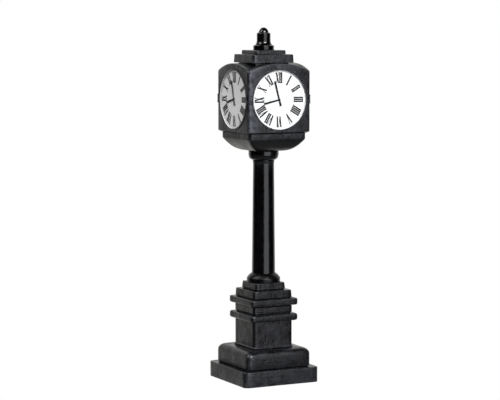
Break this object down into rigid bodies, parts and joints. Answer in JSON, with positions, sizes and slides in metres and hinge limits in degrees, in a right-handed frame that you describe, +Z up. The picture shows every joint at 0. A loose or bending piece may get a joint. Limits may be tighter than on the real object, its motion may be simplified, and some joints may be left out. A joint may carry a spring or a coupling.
{
  "type": "street clock",
  "caption": "Post-mounted public clock: stepped square pedestal, tapering round column, square head with a glazed dial on each side, arched top and turned finial.",
  "frame": {"origin": "centre of the base slab underside, on the ground", "axes": "+Z up the column; the front dial faces -Y, the left dial -X"},
  "size_m": [1.0702, 1.0702, 4.572],
  "materials": {
    "cast_iron_paint": "brushed-on black enamel, satin, uneven",
    "column_paint": "brushed-on black enamel, glossier than the blocks",
    "dial_enamel": "flat white enamel with black numerals",
    "hand_paint": "satin black",
    "crystal_glass": "clear flat glass",
    "wheel_brass": "machined",
    "steel": "machined, zinc plated",
    "hinge_steel": "black painted steel",
    "motor_enamel": "grey enamel",
    "lamp_glass": "opal glass"
  },
  "bodies": {
    "clock_frame": {"base_slab": "cast_iron_paint", "plinth_block": "cast_iron_paint", "pedestal_die": "cast_iron_paint", "pedestal_cornice": "cast_iron_paint", "pedestal_step_cap": "cast_iron_paint", "column_collar": "column_paint", "column_shaft": "column_paint", "column_capital": "column_paint", "head_bowl": "cast_iron_paint", "head_case": "cast_iron_paint", "head_lid": "cast_iron_paint", "roof_lower_slab": "cast_iron_paint", "roof_upper_slab": "cast_iron_paint", "finial": "cast_iron_paint", "inner_mast": "steel", "movement_frame": "steel", "conduit_stub": "steel", "drive_motor": "motor_enamel", "dial_lamp": "lamp_glass", "access_door_hinge": "hinge_steel", "front_dial": "dial_enamel", "right_dial": "dial_enamel", "back_dial": "dial_enamel", "left_dial": "dial_enamel", "front_bezel_hinge": "hinge_steel", "right_bezel_hinge": "hinge_steel", "back_bezel_hinge": "hinge_steel", "left_bezel_hinge": "hinge_steel"},
    "drive_shaft": {"drive_rod": "steel"},
    "service_door": {"access_door": "cast_iron_paint"},
    "door_latch": {"access_door_latch": "steel"},
    "front_minute_work": {"front_minute_arbor": "wheel_brass", "front_minute_hand": "hand_paint"},
    "front_intermediate": {"front_intermediate_wheel": "wheel_brass"},
    "front_hour_work": {"front_hour_wheel": "wheel_brass", "front_hour_hand": "hand_paint"},
    "front_glazed_bezel": {"front_bezel": "cast_iron_paint", "front_crystal": "crystal_glass"},
    "right_minute_work": {"right_minute_arbor": "wheel_brass", "right_minute_hand": "hand_paint"},
    "right_intermediate": {"right_intermediate_wheel": "wheel_brass"},
    "right_hour_work": {"right_hour_wheel": "wheel_brass", "right_hour_hand": "hand_paint"},
    "right_glazed_bezel": {"right_bezel": "cast_iron_paint", "right_crystal": "crystal_glass"},
    "back_minute_work": {"back_minute_arbor": "wheel_brass", "back_minute_hand": "hand_paint"},
    "back_intermediate": {"back_intermediate_wheel": "wheel_brass"},
    "back_hour_work": {"back_hour_wheel": "wheel_brass", "back_hour_hand": "hand_paint"},
    "back_glazed_bezel": {"back_bezel": "cast_iron_paint", "back_crystal": "crystal_glass"},
    "left_minute_work": {"left_minute_arbor": "wheel_brass", "left_minute_hand": "hand_paint"},
    "left_intermediate": {"left_intermediate_wheel": "wheel_brass"},
    "left_hour_work": {"left_hour_wheel": "wheel_brass", "left_hour_hand": "hand_paint"},
    "left_glazed_bezel": {"left_bezel": "cast_iron_paint", "left_crystal": "crystal_glass"}
  },
  "joints": [
    {"name": "drive_shaft_spin", "type": "hinge", "parent": "clock_frame", "child": "drive_shaft", "pos_m": [0, 0, 1.5], "axis": [0, 0, -1], "continuous": true},
    {"name": "front_minute_spin", "type": "hinge", "parent": "clock_frame", "child": "front_minute_work", "pos_m": [0, -0.3, 3.6576], "axis": [0, 1, 0], "continuous": true},
    {"name": "front_intermediate_spin", "type": "hinge", "parent": "clock_frame", "child": "front_intermediate", "pos_m": [0, -0.3, 3.7376], "axis": [0, 1, 0], "continuous": true},
    {"name": "front_hour_spin", "type": "hinge", "parent": "clock_frame", "child": "front_hour_work", "pos_m": [0, -0.3, 3.6576], "axis": [0, 1, 0], "continuous": true},
    {"name": "front_bezel_swing", "type": "hinge", "parent": "clock_frame", "child": "front_glazed_bezel", "pos_m": [-0.41171, -0.45385, 3.6576], "axis": [0, 0, -1], "range_deg": [0, 110]},
    {"name": "right_minute_spin", "type": "hinge", "parent": "clock_frame", "child": "right_minute_work", "pos_m": [0.3, 0, 3.6576], "axis": [-1, 0, 0], "continuous": true},
    {"name": "right_intermediate_spin", "type": "hinge", "parent": "clock_frame", "child": "right_intermediate", "pos_m": [0.3, 0, 3.7376], "axis": [-1, 0, 0], "continuous": true},
    {"name": "right_hour_spin", "type": "hinge", "parent": "clock_frame", "child": "right_hour_work", "pos_m": [0.3, 0, 3.6576], "axis": [-1, 0, 0], "continuous": true},
    {"name": "right_bezel_swing", "type": "hinge", "parent": "clock_frame", "child": "right_glazed_bezel", "pos_m": [0.45385, -0.41171, 3.6576], "axis": [0, 0, -1], "range_deg": [0, 110]},
    {"name": "back_minute_spin", "type": "hinge", "parent": "clock_frame", "child": "back_minute_work", "pos_m": [0, 0.3, 3.6576], "axis": [0, -1, 0], "continuous": true},
    {"name": "back_intermediate_spin", "type": "hinge", "parent": "clock_frame", "child": "back_intermediate", "pos_m": [0, 0.3, 3.7376], "axis": [0, -1, 0], "continuous": true},
    {"name": "back_hour_spin", "type": "hinge", "parent": "clock_frame", "child": "back_hour_work", "pos_m": [0, 0.3, 3.6576], "axis": [0, -1, 0], "continuous": true},
    {"name": "back_bezel_swing", "type": "hinge", "parent": "clock_frame", "child": "back_glazed_bezel", "pos_m": [0.41171, 0.45385, 3.6576], "axis": [0, 0, -1], "range_deg": [0, 110]},
    {"name": "left_minute_spin", "type": "hinge", "parent": "clock_frame", "child": "left_minute_work", "pos_m": [-0.3, 0, 3.6576], "axis": [1, 0, 0], "continuous": true},
    {"name": "left_intermediate_spin", "type": "hinge", "parent": "clock_frame", "child": "left_intermediate", "pos_m": [-0.3, 0, 3.7376], "axis": [1, 0, 0], "continuous": true},
    {"name": "left_hour_spin", "type": "hinge", "parent": "clock_frame", "child": "left_hour_work", "pos_m": [-0.3, 0, 3.6576], "axis": [1, 0, 0], "continuous": true},
    {"name": "left_bezel_swing", "type": "hinge", "parent": "clock_frame", "child": "left_glazed_bezel", "pos_m": [-0.45385, 0.41171, 3.6576], "axis": [0, 0, -1], "range_deg": [0, 110]},
    {"name": "service_door_swing", "type": "hinge", "parent": "clock_frame", "child": "service_door", "pos_m": [0.192, 0.28915, 0.63], "axis": [0, 0, -1], "range_deg": [0, 110]},
    {"name": "door_latch_turn", "type": "hinge", "parent": "service_door", "child": "door_latch", "pos_m": [-0.15, 0.28315, 0.63], "axis": [0, -1, 0], "range_deg": [0, 90]}
  ],
  "couplings": [
    {"joint": "front_minute_spin", "follows": "drive_shaft_spin", "ratio": 2},
    {"joint": "front_intermediate_spin", "follows": "drive_shaft_spin", "ratio": -0.66667},
    {"joint": "front_hour_spin", "follows": "drive_shaft_spin", "ratio": 0.16667},
    {"joint": "right_minute_spin", "follows": "drive_shaft_spin", "ratio": 2},
    {"joint": "right_intermediate_spin", "follows": "drive_shaft_spin", "ratio": -0.66667},
    {"joint": "right_hour_spin", "follows": "drive_shaft_spin", "ratio": 0.16667},
    {"joint": "back_minute_spin", "follows": "drive_shaft_spin", "ratio": 2},
    {"joint": "back_intermediate_spin", "follows": "drive_shaft_spin", "ratio": -0.66667},
    {"joint": "back_hour_spin", "follows": "drive_shaft_spin", "ratio": 0.16667},
    {"joint": "left_minute_spin", "follows": "drive_shaft_spin", "ratio": 2},
    {"joint": "left_intermediate_spin", "follows": "drive_shaft_spin", "ratio": -0.66667},
    {"joint": "left_hour_spin", "follows": "drive_shaft_spin", "ratio": 0.16667}
  ]
}
